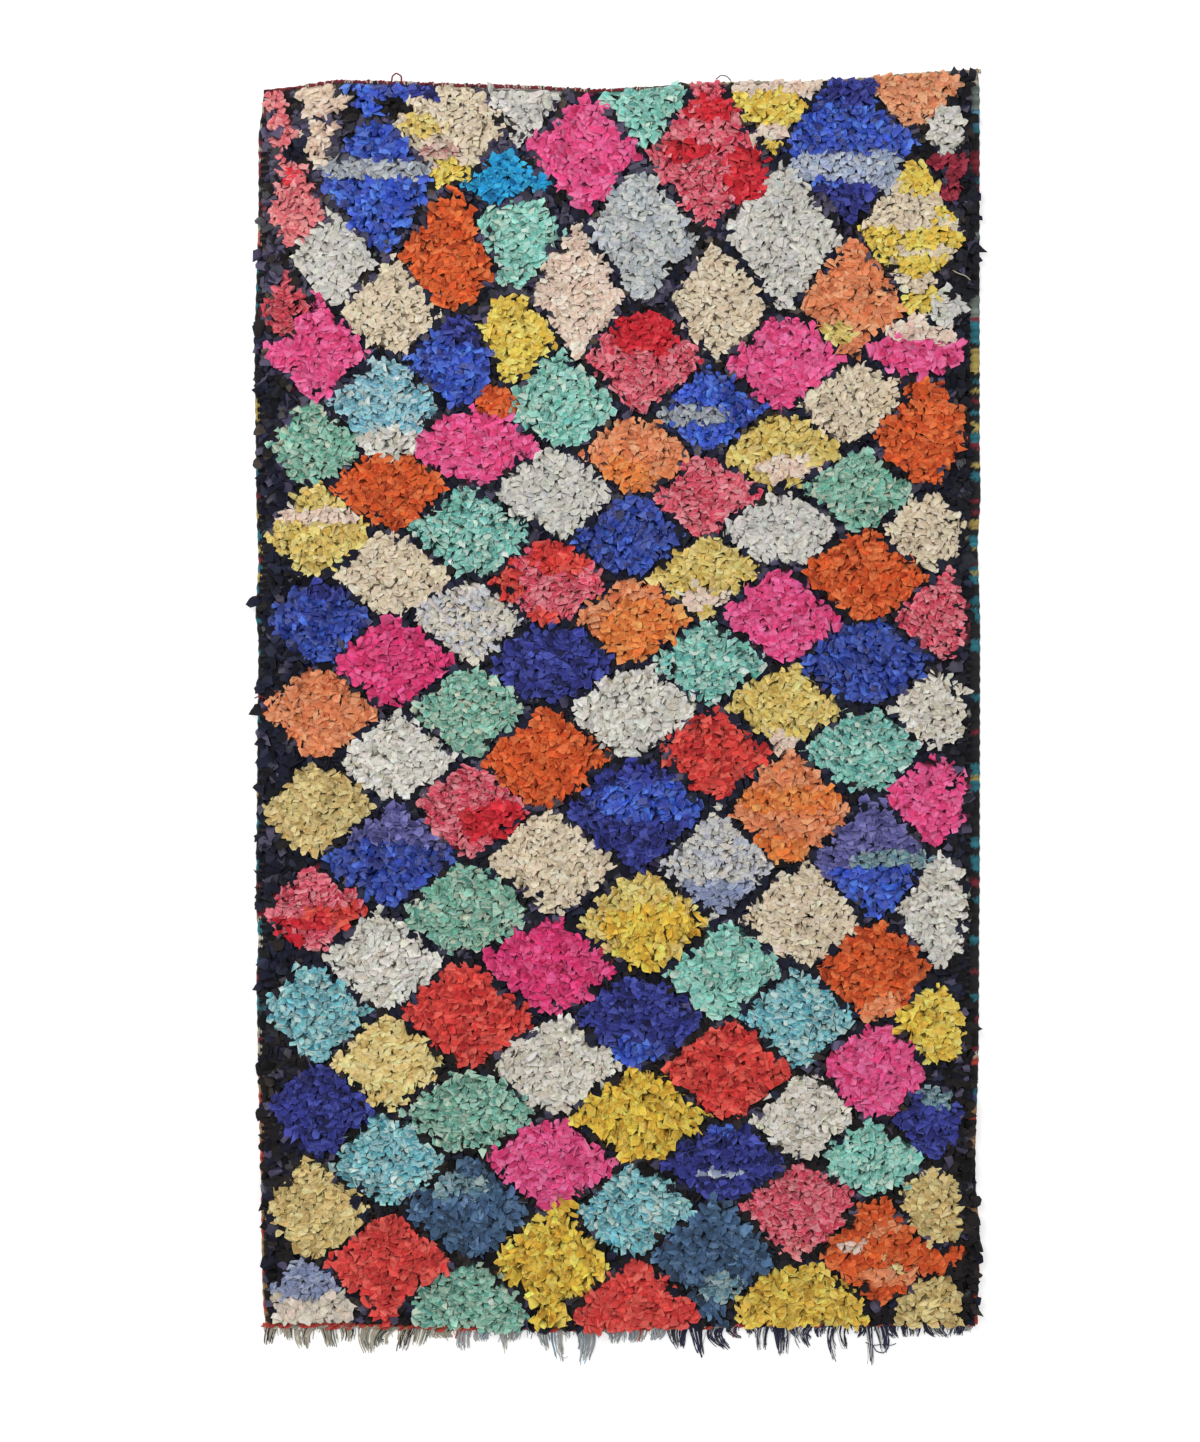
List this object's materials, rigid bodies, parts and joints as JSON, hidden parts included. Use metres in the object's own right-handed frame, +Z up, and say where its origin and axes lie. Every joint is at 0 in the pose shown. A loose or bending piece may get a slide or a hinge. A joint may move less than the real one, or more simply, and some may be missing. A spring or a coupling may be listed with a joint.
{
  "type": "boucherouite rug",
  "caption": "Shaggy rag rug with a hand-knotted pile of cut cloth strips in a dark-outlined diamond lattice, flat striped selvedges and a short uneven warp fringe at one end.",
  "frame": {"origin": "centre of the whole outline, fringe included, on the floor", "axes": "+Z up from the floor, +Y along the rug's length away from the fringed end, +X across its width"},
  "size_m": [1.4075, 2.5095, 0.0244],
  "materials": {
    "rag_pile": "matte cut cotton and synthetic rags",
    "woven_ground": "matte striped weft-faced weave",
    "warp_yarn": "matte twisted yarn"
  },
  "bodies": {
    "root": {"rug_body": "rag_pile", "warp_fringe": "warp_yarn"}
  },
  "joints": []
}
